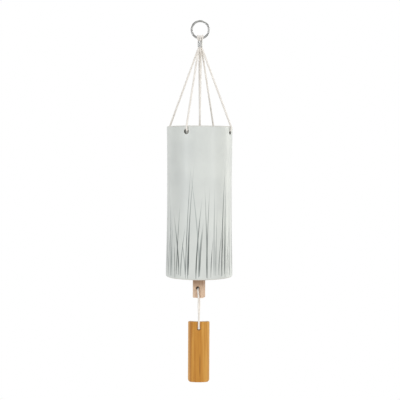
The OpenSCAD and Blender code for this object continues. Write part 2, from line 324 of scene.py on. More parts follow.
def layCord(name, points, material=cotton, endDiameter=cord["diameter"]):
    piece = growTree(name, pathCurve(name, points), cordTree, {
        "Material": material, "End share": endDiameter / cord["diameter"]})
    return finishPiece(piece)


def softened(points, radii):  # rounds chosen corners of a route, {index: radius}
    route = []
    for index, point in enumerate(points):
        if index not in radii:
            route.append(point)
            continue
        before, after = points[index - 1] - point, points[index + 1] - point
        opening = before.angle(after)
        most = 0.48 * min(before.length, after.length)  # two corners never meet
        cut = min(radii[index] / math.tan(opening / 2), most)
        first, last = point + before.normalized() * cut, point + after.normalized() * cut
        for s in (k / 6 for k in range(7)):
            route.append(first * (1 - s) ** 2 + point * 2 * s * (1 - s) + last * s * s)
    return route


ferruleLow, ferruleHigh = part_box("ferrule")
mouth, sleeveTop = ferruleLow.z, ferruleHigh.z
gathered = (mouth + sleeveTop) / 2  # strands change over inside the sleeve
wireZ = joints["hanger_swing"].z


def strandPlace(x, y):  # six strands stand in a ring in the sleeve: x is -1, 0 or 1, y is -1 or 1
    step = cord["strandStep"]
    return x * step * math.cos(math.pi / 6), y * step * (0.5 if x else 1)


def ringLoops():
    for number, place in enumerate((-1, 0, 1), 1):
        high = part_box(f"ring_loop_{number}")[1]
        x = place * cord["loopPitch"]
        legX, legY = strandPlace(place, 1)
        radius = high.z - wireZ - cord["tight"] / 2 + 0.2 * mm
        over = [(x, -radius * math.cos(a), wireZ + radius * math.sin(a))
                for a in (math.radians(d) for d in range(0, 181, 12))]
        front = [(legX, -legY, gathered), (legX, -legY, sleeveTop + 0.6 * mm)]
        back = [(legX, legY, sleeveTop + 0.6 * mm), (legX, legY, gathered)]
        loop = layCord(f"ringLoop{number}", front + over + back, endDiameter=cord["tight"])
        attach(loop, "hanger")
        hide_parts(f"ring_loop_{number}")


ringLoops()
print("ring loops laid")


# Split ring and ferrule

wire = {
    "band": 2.5 * mm,
    "thickness": 1.25 * mm,
    "turnGap": 0.08 * mm,
    "fullness": 0.92,  # 1 is an ellipse in section, less is squarer
    "stepPlace": 50,  # degrees round the ring, where the wire steps across
    "stepHalf": 20,
}


def nickelPlate(name, dull, bright):  # nickel plated metal: grey mirror with a little handling haze
    material, tree, shader = newMaterial(name)
    where = addNode(tree, "TexCoord", out="Object")
    haze = addNode(tree, "TexNoise", {"Vector": where, "Scale": 1 / (8 * mm), "Detail": 2})
    rough = addNode(tree, "MapRange", {
        "Value": haze, "From Min": 0.3, "From Max": 0.7, "To Min": 0.1, "To Max": 0.2})
    tree.links.new(rough, shader.inputs["Roughness"])
    tint = addNode(tree, "ValToRGB", {"Fac": haze})
    setStops(tint, [(0.35, dull), (0.65, bright)])
    groove = addNode(tree, "Attribute", out="Fac", attribute_name="pressed")  # tarnish in the crimps
    colour = addNode(tree, "Mix", {0: groove, 6: tint, 7: linear("#66645F")}, out=2, data_type="RGBA")
    tree.links.new(colour, shader.inputs["Base Color"])
    shader.inputs["Metallic"].default_value = 1
    return material


nickel = nickelPlate("polished nickel plate", "#A6A6A3", "#D4D4D1")
# the sleeve's nickel is the ring's nickel made brighter, as painted reflection for the sleeve's bright front
brighterPaintedNickel = nickelPlate("nickel painted brighter for the sleeve", "#D2D2CF", "#E2E2DF")


def flatWireTree():
    tree, given = startTree("flat wire", [
        ("Band width", "NodeSocketFloat", wire["band"]),
        ("Thickness", "NodeSocketFloat", wire["thickness"]),
        ("Fullness", "NodeSocketFloat", wire["fullness"]),
        ("Material", "NodeSocketMaterial", None),
    ])
    upright = addNode(tree, "GeometryNodeSetCurveNormal", {
        "Curve": given["Path"], "Normal": (0, 1, 0)}, mode="FREE")
    section = addNode(tree, "GeometryNodeCurvePrimitiveCircle", {"Resolution": 28, "Radius": 0.5})
    spot = addNode(tree, "GeometryNodeInputPosition")
    axes = addNode(tree, "SeparateXYZ", {0: spot}).node.outputs
    sides = []
    for axis, size in (("X", "Thickness"), ("Y", "Band width")):  # a fuller oval than an ellipse
        away = addNode(tree, "Math", {0: axes[axis]}, operation="ABSOLUTE")
        away = addNode(tree, "Math", {0: away, 1: 2.0}, operation="MULTIPLY")
        away = addNode(tree, "Math", {0: away, 1: given["Fullness"]}, operation="POWER")
        sign = addNode(tree, "Math", {0: axes[axis]}, operation="SIGN")
        away = addNode(tree, "Math", {0: away, 1: sign}, operation="MULTIPLY")
        half = addNode(tree, "Math", {0: given[size], 1: 0.5}, operation="MULTIPLY")
        sides.append(addNode(tree, "Math", {0: away, 1: half}, operation="MULTIPLY"))
    oval = addNode(tree, "CombineXYZ", {"X": sides[0], "Y": sides[1]})
    section = addNode(tree, "GeometryNodeSetPosition", {"Geometry": section, "Position": oval})
    mesh = addNode(tree, "GeometryNodeCurveToMesh", {"Curve": upright, "Profile Curve": section, "Fill Caps": True})
    return endTree(tree, given, mesh)


def splitRing():
    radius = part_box("split_ring")[1].z - wire["band"] / 2
    first = wire["stepHalf"] + 2
    pitch = wire["thickness"] + wire["turnGap"]
    points = []
    for degrees in range(first, 721 - first, 2):
        share = min(1, max(0, (degrees - 360 + wire["stepHalf"]) / (2 * wire["stepHalf"])))
        side = pitch * (share * share * (3 - 2 * share) - 0.5)
        a = math.radians(degrees + wire["stepPlace"])
        points.append((radius * math.cos(a), side, radius * math.sin(a)))
    piece = growTree("splitRing", pathCurve("splitRing", points), flatWireTree(), {"Material": nickel})
    finishPiece(piece)
    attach(piece, "ring")
    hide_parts("split_ring")


sleeve = {
    "wall": 0.3 * mm,
    "lip": 0.13 * mm,
    "crimp": 0.2 * mm,  # depth of the grooves pressed in between the strands
    "crimpHeight": 3.4 * mm,
    "crimps": 6,
    "steps": 96,
}


def crimpedFerrule():
    radius, wall, lip, steps = ferruleHigh.x, sleeve["wall"], sleeve["lip"], sleeve["steps"]
    levels = spaced(mouth + lip, sleeveTop - lip, 0.5 * mm)
    profile = [(radius - lip, mouth), *[(radius, z) for z in levels], (radius - lip, sleeveTop),
               (radius - wall + lip, sleeveTop), *[(radius - wall, z) for z in reversed(levels)],
               (radius - wall + lip, mouth)]
    verts, pressed = [], []
    for i in range(steps):
        a = turn * i / steps
        for r, z in profile:
            waist = math.exp(-((z - gathered) / sleeve["crimpHeight"]) ** 10)
            pressed.append(waist * (0.5 + 0.5 * math.cos(sleeve["crimps"] * a)) ** 4)
            r -= sleeve["crimp"] * pressed[-1]
            verts.append((r * math.cos(a), r * math.sin(a), z))
    count = len(profile)
    faces = [(i * count + k, (i + 1) % steps * count + k, (i + 1) % steps * count + (k + 1) % count,
              i * count + (k + 1) % count) for i in range(steps) for k in range(count)]
    mesh = bpy.data.meshes.new("ferrule")
    mesh.from_pydata(verts, [], faces)
    mesh.attributes.new("pressed", "FLOAT", "POINT").data.foreach_set("value", pressed)
    piece = finishPiece(newPiece("crimpedFerrule", mesh), brighterPaintedNickel)
    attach(piece, "hanger")
    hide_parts("ferrule")


splitRing()
crimpedFerrule()
print("ring and ferrule made")


# Plates with drilled holes and rounded edges: the tube's wall, the clapper and the sail

def edgeProfile(radius, depth, count=6):  # inset and depth of each ring, from the front face to the back
    arc = [(radius * (1 - math.sin(a)), radius * (1 - math.cos(a)))
           for a in (math.pi / 2 * k / count for k in range(count + 1))]
    return arc + [(inset, depth - d) for inset, d in reversed(arc)]


def drilledPlate(name, loops, grid, holes, depth, place):
    # loops: (ring of points for an inset, edge radius, closed); grid: inner points of a face; holes: (u, v, radius)
    verts, faces, flat, fronts, backs, borders = [], [], [], [], [], []

    def addRow(points, level):
        start = len(verts)
        verts.extend(place(u, v, level) for u, v in points)
        return list(range(start, len(verts)))

    for ring, radius, closed in loops:
        profile = edgeProfile(radius, depth)
        rows = [addRow(ring(inset), level) for inset, level in profile]
        for a, b in zip(rows, rows[1:]):
            for i in range(len(a) if closed else len(a) - 1):
                j = (i + 1) % len(a)
                faces.append((a[i], a[j], b[j], b[i]))
        start = len(flat)
        flat.extend(ring(profile[0][0]))
        fronts += rows[0]
        backs += rows[-1]
        chain = list(range(start, len(flat)))
        borders += list(zip(chain, chain[1:] + chain[:1] if closed else chain[1:]))
    flat.extend(grid)
    fronts += addRow(grid, 0)
    backs += addRow(grid, depth)
    made = delaunay_2d_cdt([Vector(p) for p in flat], borders, [], 0, 1e-9)
    source = [places[0] for places in made[3]]
    flare = loops[-1][1]  # the holes are this much wider at the face
    chord = 0.994  # their outlines are polygons, a little inside the circle
    for triangle in made[2]:
        corners = [source[i] for i in triangle]
        u, v = (sum(flat[i][k] for i in corners) / 3 for k in (0, 1))
        if all(math.hypot(u - hu, v - hv) > chord * (r + flare) for hu, hv, r in holes):
            faces.append([fronts[i] for i in corners])
            faces.append([backs[i] for i in reversed(corners)])
    mesh = bpy.data.meshes.new(name)
    mesh.from_pydata(verts, [], faces)
    work = bmesh.new()
    work.from_mesh(mesh)
    bmesh.ops.remove_doubles(work, verts=work.verts, dist=1e-7)
    bmesh.ops.recalc_face_normals(work, faces=work.faces)
    work.to_mesh(mesh)
    work.free()
    return newPiece(name, mesh)


def holeLoop(u, v, radius, edge, count=40):
    angles = [turn * i / count for i in range(count)]

    def ring(inset):
        return [(u + (radius + inset) * math.cos(a), v + (radius + inset) * math.sin(a)) for a in angles]
    return ring, edge, True


def clearOf(points, holes, margin):
    return [p for p in points if all(math.hypot(p[0] - u, p[1] - v) > r + margin for u, v, r in holes)]


def roundedOutline(width, low, high, lowRound, highRound, step):
    half = width / 2
    corners = [(half, low, lowRound, -90), (half, high, highRound, 0), (-half, high, highRound, 90),
               (-half, low, lowRound, 180)]

    def ring(inset):
        points = []
        for index, (u, v, radius, start) in enumerate(corners):
            cu, cv = u - math.copysign(radius, u), v + (radius if v == low else -radius)
            for k in range(9):
                a = math.radians(start + 90 * k / 8)
                points.append((cu + (radius - inset) * math.cos(a), cv + (radius - inset) * math.sin(a)))
            nu, nv, nr, _ = corners[(index + 1) % 4]
            end = (nu - math.copysign(nr, nu), nv + (nr if nv == low else -nr))
            a = math.radians(start + 90)
            ahead = (end[0] + (nr - inset) * math.cos(a), end[1] + (nr - inset) * math.sin(a))
            count = max(2, round(math.hypot(nu - u, nv - v) / step))
            points += [(points[-1][0] * (1 - s / count) + ahead[0] * s / count,
                        points[-1][1] * (1 - s / count) + ahead[1] * s / count) for s in range(1, count)]
        return points
    return ring


# Ceramic tube

tube = {
    "topRadius": 41.45 * mm,
    "waistRadius": 40.9 * mm,
    "footRadius": 42.4 * mm,
    "wall": 4.5 * mm,
    "rimRound": 1.8 * mm,
    "holeRadius": 3 * mm,
    "holeDrop": 7.2 * mm,
    "holeRound": 0.7 * mm,
    "holeTurn": -23.5,  # degrees from the front towards the right
    "cordSlack": (1.0 * mm, -1.0 * mm, -1.2 * mm, -1.0 * mm),  # where each cord lies across its hole
    "columns": 288,
    "fineStep": 0.9 * mm,  # rows of the mesh near the holes, and below them
    "coarseStep": 2.6 * mm,
    "wave": 0.12 * mm,  # unevenness of the hand-made wall
}
grass = {
    # blades round the tube, height of the tallest, half of the width at the foot, colour
    "rows": [
        (7, 150 * mm, 0.8 * mm, "#AAB0AD"),
        (9, 132 * mm, 0.8 * mm, "#9CA29F"),
        (8, 146 * mm, 0.75 * mm, "#909694"),
        (11, 108 * mm, 0.8 * mm, "#828886"),
        (10, 128 * mm, 0.7 * mm, "#6C7270"),
        (13, 84 * mm, 0.7 * mm, "#8A908D"),
        (9, 140 * mm, 0.7 * mm, "#505654"),
        (12, 112 * mm, 0.7 * mm, "#606664"),
        (17, 62 * mm, 0.6 * mm, "#484E4C"),
    ],
    "softEdge": 0.25 * mm,
    "bareFoot": 1.4 * mm,  # no brush mark on the foot's round edge
    "uneven": 5 * mm,
    "begin": 0.9 * mm,  # a blade comes in over this height
    "slimFoot": 16 * mm,  # and is slimmer up to here
    "bend": 1.7,  # more bends a blade nearer its tip
    "lean": 0.68,  # how far a tip may stand from its foot, as a share of the blades' spacing
}
tubeLow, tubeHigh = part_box("ceramic_tube")
tubeFoot, tubeTop = tubeLow.z, tubeHigh.z
holeZ = tubeTop - tube["holeDrop"]
holeAngles = [math.radians(tube["holeTurn"] + 90 * i) for i in range(4)]


def satinGlaze():  # pale stoneware under a satin glaze: soft sheen, grey grass blades brushed under the glaze
    material, tree, shader = newMaterial("satin glazed stoneware")
    where = addNode(tree, "TexCoord", out="Object")
    axes = addNode(tree, "SeparateXYZ", {0: where}).node.outputs
    ahead = addNode(tree, "Math", {0: axes["Y"], 1: -1.0}, operation="MULTIPLY")
    bearing = addNode(tree, "Math", {0: axes["X"], 1: ahead}, operation="ARCTAN2")
    rise = addNode(tree, "Math", {0: axes["Z"], 1: tubeFoot}, operation="SUBTRACT")
    flat = addNode(tree, "CombineXYZ", {"X": axes["X"], "Y": axes["Y"]})
    reach = addNode(tree, "VectorMath", {0: flat}, out="Value", operation="LENGTH")
    outside = addNode(tree, "Math", {0: reach, 1: tube["waistRadius"] - tube["wall"] / 2}, operation="GREATER_THAN")
    cloud = addNode(tree, "TexNoise", {"Vector": where, "Scale": 1 / (40 * mm), "Detail": 4})
    colour = addNode(tree, "ValToRGB", {"Fac": cloud})
    setStops(colour, [(0.35, "#D1D4D0"), (0.65, "#D9DCD7")])
    brushPlace = addNode(tree, "Mapping", {"Vector": where, "Scale": (1, 1, 0.05)})
    brush = addNode(tree, "TexNoise", {"Vector": brushPlace, "Scale": 1 / (0.9 * mm), "Detail": 3})
    cover = addNode(tree, "MapRange", {
        "Value": brush, "From Min": 0.3, "From Max": 0.62, "To Min": 0.62, "To Max": 1.0})
    cover = addNode(tree, "Math", {0: cover, 1: outside}, operation="MULTIPLY")
    layers = []
    for blades, tallest, half, tint in grass["rows"]:
        spacing = turn * tube["waistRadius"] / blades
        place = addNode(tree, "Math", {0: bearing, 1: blades / turn, 2: blades / 2}, operation="MULTIPLY_ADD")
        number = addNode(tree, "Math", {0: place}, operation="FLOOR")
        seed = addNode(tree, "Math", {0: number, 1: 100.0 * blades}, operation="ADD")
        lot = addNode(tree, "TexWhiteNoise", {"W": seed}, out="Color", noise_dimensions="1D")
        lots = addNode(tree, "SeparateXYZ", {0: lot}).node.outputs
        height = addNode(tree, "Math", {0: lots["X"], 1: 0.5 * tallest, 2: 0.5 * tallest}, operation="MULTIPLY_ADD")
        base = addNode(tree, "Math", {0: lots["Y"], 1: -grass["uneven"], 2: rise}, operation="MULTIPLY_ADD")
        base = addNode(tree, "Math", {0: base, 1: -grass["bareFoot"]}, operation="ADD")
        begun = addNode(tree, "MapRange", {"Value": base, "From Max": grass["begin"]})
        narrow = addNode(tree, "MapRange", {
            "Value": base, "From Max": grass["slimFoot"], "To Min": 0.35}, interpolation_type="SMOOTHSTEP")
        share = addNode(tree, "Math", {0: base, 1: height}, operation="DIVIDE")
        share = addNode(tree, "Math", {0: share, 1: 0.0}, operation="MAXIMUM")
        bow = addNode(tree, "Math", {0: share, 1: grass["bend"]}, operation="POWER")
        lean = addNode(tree, "Math", {0: lots["Z"], 1: 0.5}, operation="SUBTRACT")
        lean = addNode(tree, "Math", {0: lean, 1: grass["lean"] * spacing}, operation="MULTIPLY")
        foot = addNode(tree, "Math", {0: lots["Y"], 1: 0.3 * spacing, 2: -0.15 * spacing}, operation="MULTIPLY_ADD")
        middle = addNode(tree, "Math", {0: bow, 1: lean, 2: foot}, operation="MULTIPLY_ADD")
        aside = addNode(tree, "Math", {0: place}, operation="FRACT")
        aside = addNode(tree, "Math", {0: aside, 1: spacing, 2: -0.5 * spacing}, operation="MULTIPLY_ADD")
        aside = addNode(tree, "Math", {0: aside, 1: middle}, operation="SUBTRACT")
        aside = addNode(tree, "Math", {0: aside}, operation="ABSOLUTE")
        width = addNode(tree, "Math", {0: bow, 1: -half, 2: half}, operation="MULTIPLY_ADD")
        width = addNode(tree, "Math", {0: width, 1: narrow}, operation="MULTIPLY")
        inside = addNode(tree, "Math", {0: width, 1: aside}, operation="SUBTRACT")
        mask = addNode(tree, "MapRange", {
            "Value": inside, "From Min": -grass["softEdge"], "From Max": grass["softEdge"]},
            interpolation_type="SMOOTHSTEP")
        mask = addNode(tree, "Math", {0: mask, 1: cover}, operation="MULTIPLY")
        mask = addNode(tree, "Math", {0: mask, 1: begun}, operation="MULTIPLY")
        layers.append((mask, linear(tint)))
    middleZ, half = (tubeTop + tubeFoot) / 2, (tubeTop - tubeFoot) / 2
    edge = bandMask(tree, axes["Z"], middleZ, half - 1.6 * mm, half, 0.0, 0.45)  # thin glaze shows the clay
    # the four holes stand a quarter turn apart
    nearest = addNode(tree, "Math", {
        0: bearing, 1: 4 / turn, 2: 0.5 - 4 * holeAngles[0] / turn}, operation="MULTIPLY_ADD")
    nearest = addNode(tree, "Math", {0: nearest}, operation="FRACT")
    quarter = turn * tube["topRadius"] / 4
    beside = addNode(tree, "Math", {0: nearest, 1: quarter, 2: -0.5 * quarter}, operation="MULTIPLY_ADD")
    below = addNode(tree, "Math", {0: axes["Z"], 1: holeZ}, operation="SUBTRACT")
    fromHole = addNode(tree, "CombineXYZ", {"X": beside, "Y": below})
    fromHole = addNode(tree, "VectorMath", {0: fromHole}, out="Value", operation="LENGTH")
    holeWallShade = addNode(tree, "MapRange", {
        "Value": fromHole, "From Min": tube["holeRadius"], "From Max": tube["holeRadius"] + 0.5 * mm,
        "To Min": 0.8, "To Max": 0.0}, interpolation_type="SMOOTHSTEP")  # painted shade on the bare clay in the holes
    layers += [(edge, linear("#CFC3B2")), (holeWallShade, linear("#524C44"))]
    pits = addNode(tree, "TexNoise", {"Vector": where, "Scale": 1 / (2.5 * mm), "Detail": 3})
    rough = addNode(tree, "MapRange", {
        "Value": pits, "From Min": 0.3, "From Max": 0.7, "To Min": 0.3, "To Max": 0.44})
    dressShader(tree, shader, colour, layers, rough, pits, (0.15, 0.12 * mm))
    shader.inputs["IOR"].default_value = 1.5
    return material


glaze = satinGlaze()


def tubeRadius(z):  # outer radius, waisted halfway down
    s = (tubeTop - z) / (tubeTop - tubeFoot)
    return (tube["topRadius"] * (1 - s) * (1 - 2 * s) + tube["waistRadius"] * 4 * s * (1 - s)
            + tube["footRadius"] * s * (2 * s - 1))


def ceramicTube():
    around = turn * tube["topRadius"]  # the wall is laid flat at this length
    us = [around * i / tube["columns"] for i in range(tube["columns"] + 1)]
    rim = tube["rimRound"]
    holes = [((a % turn) / turn * around, holeZ, tube["holeRadius"]) for a in holeAngles]

    def place(u, v, depth):
        angle = u / around * turn
        dent = noise.noise((2.2 * math.sin(angle), 2.2 * math.cos(angle), v * 28))
        r = tubeRadius(v) - depth + tube["wave"] * dent
        return (r * math.sin(angle), -r * math.cos(angle), v)

    loops = [(lambda inset: [(u, tubeTop - inset) for u in us], rim, False),
             (lambda inset: [(u, tubeFoot + inset) for u in us], rim, False)]
    loops += [holeLoop(*hole, tube["holeRound"]) for hole in holes]
    fineFoot = holeZ - 6 * mm
    fine = spaced(fineFoot, tubeTop - rim, tube["fineStep"])[:-1]
    coarse = spaced(tubeFoot + rim, fineFoot, tube["coarseStep"])[1:-1]
    margin = tube["holeRound"] + 0.45 * mm
    grid = clearOf([(u, v) for v in coarse + fine for u in us], holes, margin)
    piece = drilledPlate("ceramicTube", loops, grid, holes, tube["wall"], place)
    finishPiece(piece, glaze)
    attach(piece, "bell")
    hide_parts("ceramic_tube")


def suspensionCords():
    knotUnit, knotLift, knotSeat, approach = 1.34 * mm, 2.15 * mm, 1.7 * mm, 4.2 * mm
    tailDrop, tailIn = 7 * mm, 1.2 * mm
    clear = cord["diameter"] / 2 + 0.25 * mm
    inside = holeZ + tube["holeRadius"] - clear
    runRadius = tubeRadius(holeZ) + clear
    knotRadius = tubeRadius(holeZ) - tube["wall"] - knotLift - knotSeat
    legs = [(-1, -1), (1, -1), (1, 1), (-1, 1)]
    up = Vector((0, 0, 1))
    for number, (angle, leg, slack) in enumerate(zip(holeAngles, legs, tube["cordSlack"]), 1):
        outward = Vector((math.sin(angle), -math.cos(angle), 0))
        sideways = Vector((math.cos(angle), math.sin(angle), 0))
        aside = sideways * slack
        legX, legY = strandPlace(*leg)
        knot = [
            aside + outward * (knotRadius + knotLift * math.sin(3 * a))
            + sideways * knotUnit * (math.sin(a) + 2 * math.sin(2 * a))
            + up * (inside + knotUnit * (math.cos(a) - 2 * math.cos(2 * a)))
            for a in (math.radians(d) for d in range(20, 331, 10))
        ]
        tail = knot[-1] + (knot[-1] - knot[-2]).normalized() * 2 * mm - up * 1 * mm
        points = [
            Vector((legX, legY, gathered)), Vector((legX, legY, mouth)),
            aside + outward * runRadius + up * (tubeTop - 0.9 * mm), aside + outward * runRadius + up * inside,
            aside + outward * (knotRadius + approach) + up * inside,
            *knot, tail, tail - up * tailDrop - outward * tailIn,
        ]
        piece = layCord(f"suspensionCord{number}", points, endDiameter=cord["tight"])
        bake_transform(piece)
        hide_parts(f"suspension_cord_{number}", f"stopper_knot_{number}")


ceramicTube()
suspensionCords()
print("tube and its cords made")


# Clapper

clapperWood = {
    "width": 13.6 * mm,
    "thickness": 11 * mm,
    "edge": 0.9 * mm,
    "turnDegrees": -17,
    "holeRadius": 2.1 * mm,
    "holeRound": 0.5 * mm,
    "headDrop": 8 * mm,
    "footRise": 12.4 * mm,
    "paintedRimShade": 0.5,  # how dark the painted shade is where the wood meets the bell's rim
    "paintedRimShadeReach": (8 * mm, 18 * mm),  # full up to here, gone from there
}
clapperLow, clapperHigh = (corner.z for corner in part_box("clapper"))
headHole = clapperHigh - clapperWood["headDrop"]
footHole = clapperLow + clapperWood["footRise"]
clapperTurn = Matrix.Rotation(math.radians(clapperWood["turnDegrees"]), 3, "Z")


def sandedBeech():  # sanded beech without varnish: straight pinkish grain, short dark flecks, drill-burnt holes with painted shade in them, and painted shade near the bell's rim
    material, tree, shader = newMaterial("sanded beech")
    where = addNode(tree, "TexCoord", out="Object")
    bench = addNode(tree, "Mapping", {
        "Vector": where, "Rotation": (0, 0, -math.radians(clapperWood["turnDegrees"]))})
    broadPlace = addNode(tree, "Mapping", {"Vector": bench, "Scale": (1, 1, 0.05)})
    broad = addNode(tree, "TexNoise", {"Vector": broadPlace, "Scale": 1 / (3.5 * mm), "Detail": 3})
    grain = addNode(tree, "TexNoise", {"Vector": broadPlace, "Scale": 1 / (0.8 * mm), "Detail": 5})
    tone = addNode(tree, "Math", {0: grain, 1: 0.6, 2: broad}, operation="MULTIPLY_ADD")
    ramp = addNode(tree, "ValToRGB", {"Fac": tone})
    setStops(ramp, [(0.55, "#CFAA8C"), (0.8, "#DEBC9F"), (1.0, "#E8CBAF")])
    fleckPlace = addNode(tree, "Mapping", {"Vector": bench, "Scale": (1, 0.6, 0.16)})
    fleck = addNode(tree, "TexNoise", {"Vector": fleckPlace, "Scale": 1 / (0.55 * mm), "Detail": 2})
    flecks = addNode(tree, "MapRange", {"Value": fleck, "From Min": 0.62, "From Max": 0.7, "To Max": 0.5})
    layers = [(flecks, linear("#96704F"))]
    rough = 0.66
    for level in (headHole, footHole):
        # painted shade in and round each hole, over drill burn
        burntHoleShade = drillMask(tree, bench, level, clapperWood["holeRadius"], 0.6 * mm)
        layers.append((burntHoleShade, linear("#4A2F18")))
        rough = addNode(tree, "Math", {0: rough, 1: burntHoleShade}, operation="MAXIMUM")
    height = addNode(tree, "SeparateXYZ", {0: where}).node.outputs["Z"]
    # painted shade of the bell's rim: darkest level with the rim, fading above and below it, ragged with the grain
    paintedRimShade = addNode(tree, "Math", {0: height, 1: tubeFoot}, operation="SUBTRACT")
    paintedRimShade = addNode(tree, "Math", {0: paintedRimShade}, operation="ABSOLUTE")
    paintedRimShade = addNode(tree, "Math", {0: grain, 1: 4 * mm, 2: paintedRimShade}, operation="MULTIPLY_ADD")
    near, far = clapperWood["paintedRimShadeReach"]
    paintedRimShade = addNode(tree, "MapRange", {
        "Value": paintedRimShade, "From Min": near, "From Max": far, "To Min": clapperWood["paintedRimShade"], "To Max": 0.0},
        interpolation_type="SMOOTHSTEP")
    layers.append((paintedRimShade, linear("#85552F")))
    dressShader(tree, shader, ramp, layers, rough, grain, (0.25, 0.1 * mm))
    return material


beech = sandedBeech()


def woodenClapper():
    step = 1.6 * mm
    half, depth = clapperWood["width"] / 2, clapperWood["thickness"]
    edge = clapperWood["edge"]
    holes = [(0, z, clapperWood["holeRadius"]) for z in (headHole, footHole)]
    ring = roundedOutline(clapperWood["width"], clapperLow, clapperHigh, edge * 1.05, edge * 1.05, step)
    loops = [(ring, edge, True)] + [holeLoop(*hole, clapperWood["holeRound"]) for hole in holes]
    grid = [(u, v) for u in spaced(edge - half, half - edge, step)[1:-1]
            for v in spaced(clapperLow + edge, clapperHigh - edge, step)[1:-1]]
    grid = clearOf(grid, holes, clapperWood["holeRound"] + 0.4 * mm)
    piece = drilledPlate("woodenClapper", loops, grid, holes, depth,
                         lambda u, v, d: clapperTurn @ Vector((u, d - depth / 2, v)))
    finishPiece(piece, beech)
    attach(piece, "clapper")
    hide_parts("clapper")


woodenClapper()
print("clapper made")


# Sail

sail = {
    "width": 27.8 * mm,
    "thickness": 4 * mm,
    "bowRadius": 30 * mm,
    "topRound": 1.3 * mm,
    "footRound": 3.8 * mm,
    "edge": 0.7 * mm,
    "holeRadius": 1.65 * mm,
    "holeRound": 0.4 * mm,
    "holeDrop": 9 * mm,
    "paleEdges": (3.4 * mm, 1 * mm),  # the paler long edges, from the inside to the full tone
    "flankPlace": -11 * mm,  # a dark streak beside the left edge
    "flankFade": (10 * mm, 20 * mm),  # gone this far above the foot, full this far below the top
    "veinPlace": 1.5 * mm,  # one dark vein, right of the middle
    "veinDrop": (40 * mm, 72 * mm),
}
sailBoxLow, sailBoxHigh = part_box("bamboo_sail")
sailLow, sailHigh, sailFront = sailBoxLow.z, sailBoxHigh.z, sailBoxLow.y
sailHole = sailHigh - sail["holeDrop"]


def oiledBamboo():  # split bamboo, sanded and oiled: honey brown, long fibre bundles, a dark flank and vein
    material, tree, shader = newMaterial("oiled bamboo")
    where = addNode(tree, "TexCoord", out="Object")
    axes = addNode(tree, "SeparateXYZ", {0: where}).node.outputs
    fibrePlace = addNode(tree, "Mapping", {"Vector": where, "Scale": (1, 0.5, 0.018)})
    fibre = addNode(tree, "TexNoise", {"Vector": fibrePlace, "Scale": 1 / (0.7 * mm), "Detail": 4})
    bandPlace = addNode(tree, "Mapping", {"Vector": where, "Scale": (1, 0.3, 0.03), "Location": (1.8 * mm, 0, 0)})
    band = addNode(tree, "TexNoise", {"Vector": bandPlace, "Scale": 1 / (3.6 * mm), "Detail": 2})
    tone = addNode(tree, "Math", {0: fibre, 1: 0.7, 2: band}, operation="MULTIPLY_ADD")
    # painted light: the colour grows lighter towards the right, where the light falls stronger
    rightLitTone = addNode(tree, "Math", {0: axes["X"], 1: 0.11 / (sail["width"] / 2), 2: tone}, operation="MULTIPLY_ADD")
    ramp = addNode(tree, "ValToRGB", {"Fac": rightLitTone})
    setStops(ramp, [(0.55, "#A66514"), (0.78, "#BE7E23"), (0.95, "#CA8C31"), (1.0, "#D39940")])
    half = sail["width"] / 2
    inward, outward = sail["paleEdges"]
    paleEdges = bandMask(tree, axes["X"], 0.5 * mm, half - inward, half - outward, 0.0, 0.7)  # more on the left
    flank = bandMask(tree, axes["X"], sail["flankPlace"], 0.3 * mm, 1.5 * mm, 1.0, blend="SMOOTHSTEP")
    fromFoot, fromTop = sail["flankFade"]
    fading = addNode(tree, "MapRange", {
        "Value": axes["Z"], "From Min": sailLow + fromFoot, "From Max": sailHigh - fromTop, "To Min": 0.0,
        "To Max": 0.4})
    flank = addNode(tree, "Math", {0: flank, 1: fading}, operation="MULTIPLY")
    vein = bandMask(tree, axes["X"], sail["veinPlace"], 0.2 * mm, 0.75 * mm, 0.85, blend="SMOOTHSTEP")
    veinTop, veinFoot = (sailHigh - drop for drop in sail["veinDrop"])
    veinHalf = (veinTop - veinFoot) / 2
    reach = bandMask(tree, axes["Z"], (veinTop + veinFoot) / 2, veinHalf - 8 * mm, veinHalf, 1.0)
    vein = addNode(tree, "Math", {0: vein, 1: reach}, operation="MULTIPLY")
    # painted shade in and round the hole, over drill burn
    burntHoleShade = drillMask(tree, where, sailHole, sail["holeRadius"], 0.9 * mm)
    normal = addNode(tree, "TexCoord", out="Normal")
    normals = addNode(tree, "SeparateXYZ", {0: normal}).node.outputs
    # the culm's inner side is paler
    inner = addNode(tree, "MapRange", {"Value": normals["Y"], "From Min": 0.4, "From Max": 0.8, "To Max": 0.4})
    sawn = addNode(tree, "Math", {0: normals["Z"]}, operation="ABSOLUTE")
    sawn = addNode(tree, "MapRange", {"Value": sawn, "From Min": 0.5, "From Max": 0.9})
    dots = addNode(tree, "TexVoronoi", {"Vector": where, "Scale": 1 / (0.8 * mm)})
    pith = addNode(tree, "ValToRGB", {"Fac": dots})
    setStops(pith, [(0.2, "#9C6A34"), (0.45, "#CFAC80")])
    layers = [(paleEdges, linear("#E0B070")), (flank, linear("#9A5E1C")), (vein, linear("#8E5518")),
              (burntHoleShade, linear("#5E3C16")), (inner, linear("#DDB277")), (sawn, pith)]
    rough = addNode(tree, "MapRange", {
        "Value": fibre, "From Min": 0.3, "From Max": 0.7, "To Min": 0.4, "To Max": 0.56})
    rough = addNode(tree, "Math", {0: rough, 1: burntHoleShade}, operation="MAXIMUM")  # no oil in the hole
    dressShader(tree, shader, ramp, layers, rough, fibre, (0.3, 0.12 * mm))
    return material


bamboo = oiledBamboo()


